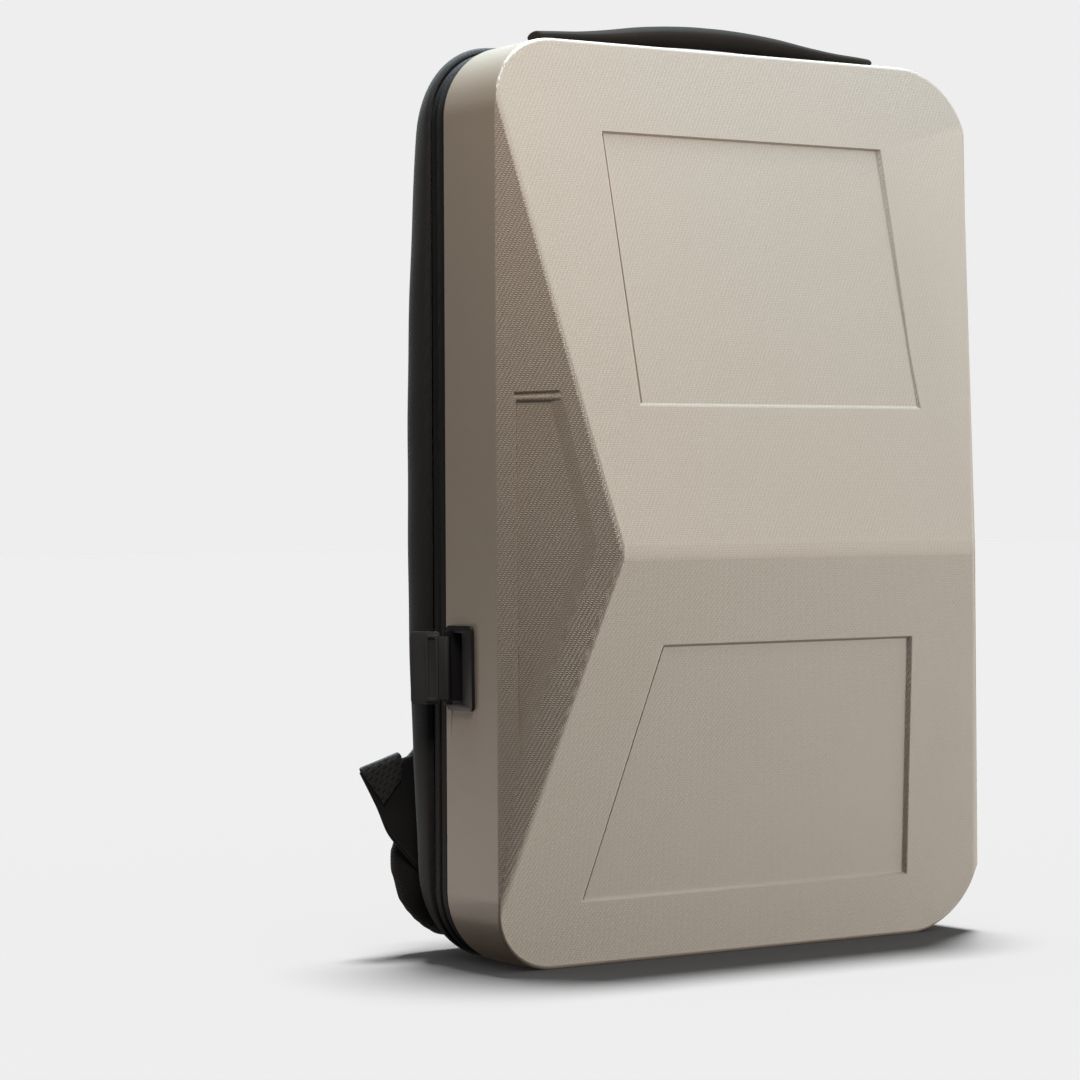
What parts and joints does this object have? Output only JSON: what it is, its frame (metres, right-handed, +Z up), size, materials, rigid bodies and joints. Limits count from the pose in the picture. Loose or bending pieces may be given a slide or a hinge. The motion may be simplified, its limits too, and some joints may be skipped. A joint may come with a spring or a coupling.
{
  "type": "laptop backpack",
  "caption": "Upright laptop backpack with a faceted hard front shell, zipped soft back, padded straps, top handle and a side charging port with a hinged lid.",
  "frame": {"origin": "on the ground, under the middle of the bag's overall width and depth", "axes": "+Z up, the front shell faces -Y, +X to the right seen from the front"},
  "size_m": [0.344, 0.1865, 0.4742],
  "materials": {
    "shell": "satin champagne film with a fine diagonal twill, over a moulded shell",
    "zip_tape": "coated black zip tape, slightly satin",
    "black_cloth": "tight black woven polyester",
    "black_mesh": "black padded air mesh",
    "webbing": "ribbed black webbing",
    "handle_grip": "matt black soft grip",
    "black_plastic": "fine-grained black plastic",
    "lid_rubber": "satin black rubber",
    "socket_metal": "bright plated steel"
  },
  "bodies": {
    "bag": {"front_shell": "shell", "zip_band": "zip_tape", "back_tray": "black_cloth", "lumbar_pad": "black_mesh", "back_pad": "black_mesh", "top_handle": "handle_grip", "shoulder_strap_right": "black_mesh", "shoulder_strap_left": "black_mesh", "strap_adjuster_right": "black_plastic", "strap_adjuster_left": "black_plastic", "strap_webbing_right": "webbing", "strap_webbing_left": "webbing", "strap_wing_right": "black_cloth", "strap_wing_left": "black_cloth", "port_bezel": "black_plastic", "usb_socket": "socket_metal", "usb_tongue": "black_plastic", "hinge_pin": "socket_metal"},
    "lid": {"port_lid": "lid_rubber"}
  },
  "joints": [
    {"name": "lid_hinge", "type": "hinge", "parent": "bag", "child": "lid", "pos_m": [-0.15454, -0.0019, 0.1494], "axis": [0, 0, -1], "range_deg": [-140, 15]}
  ]
}
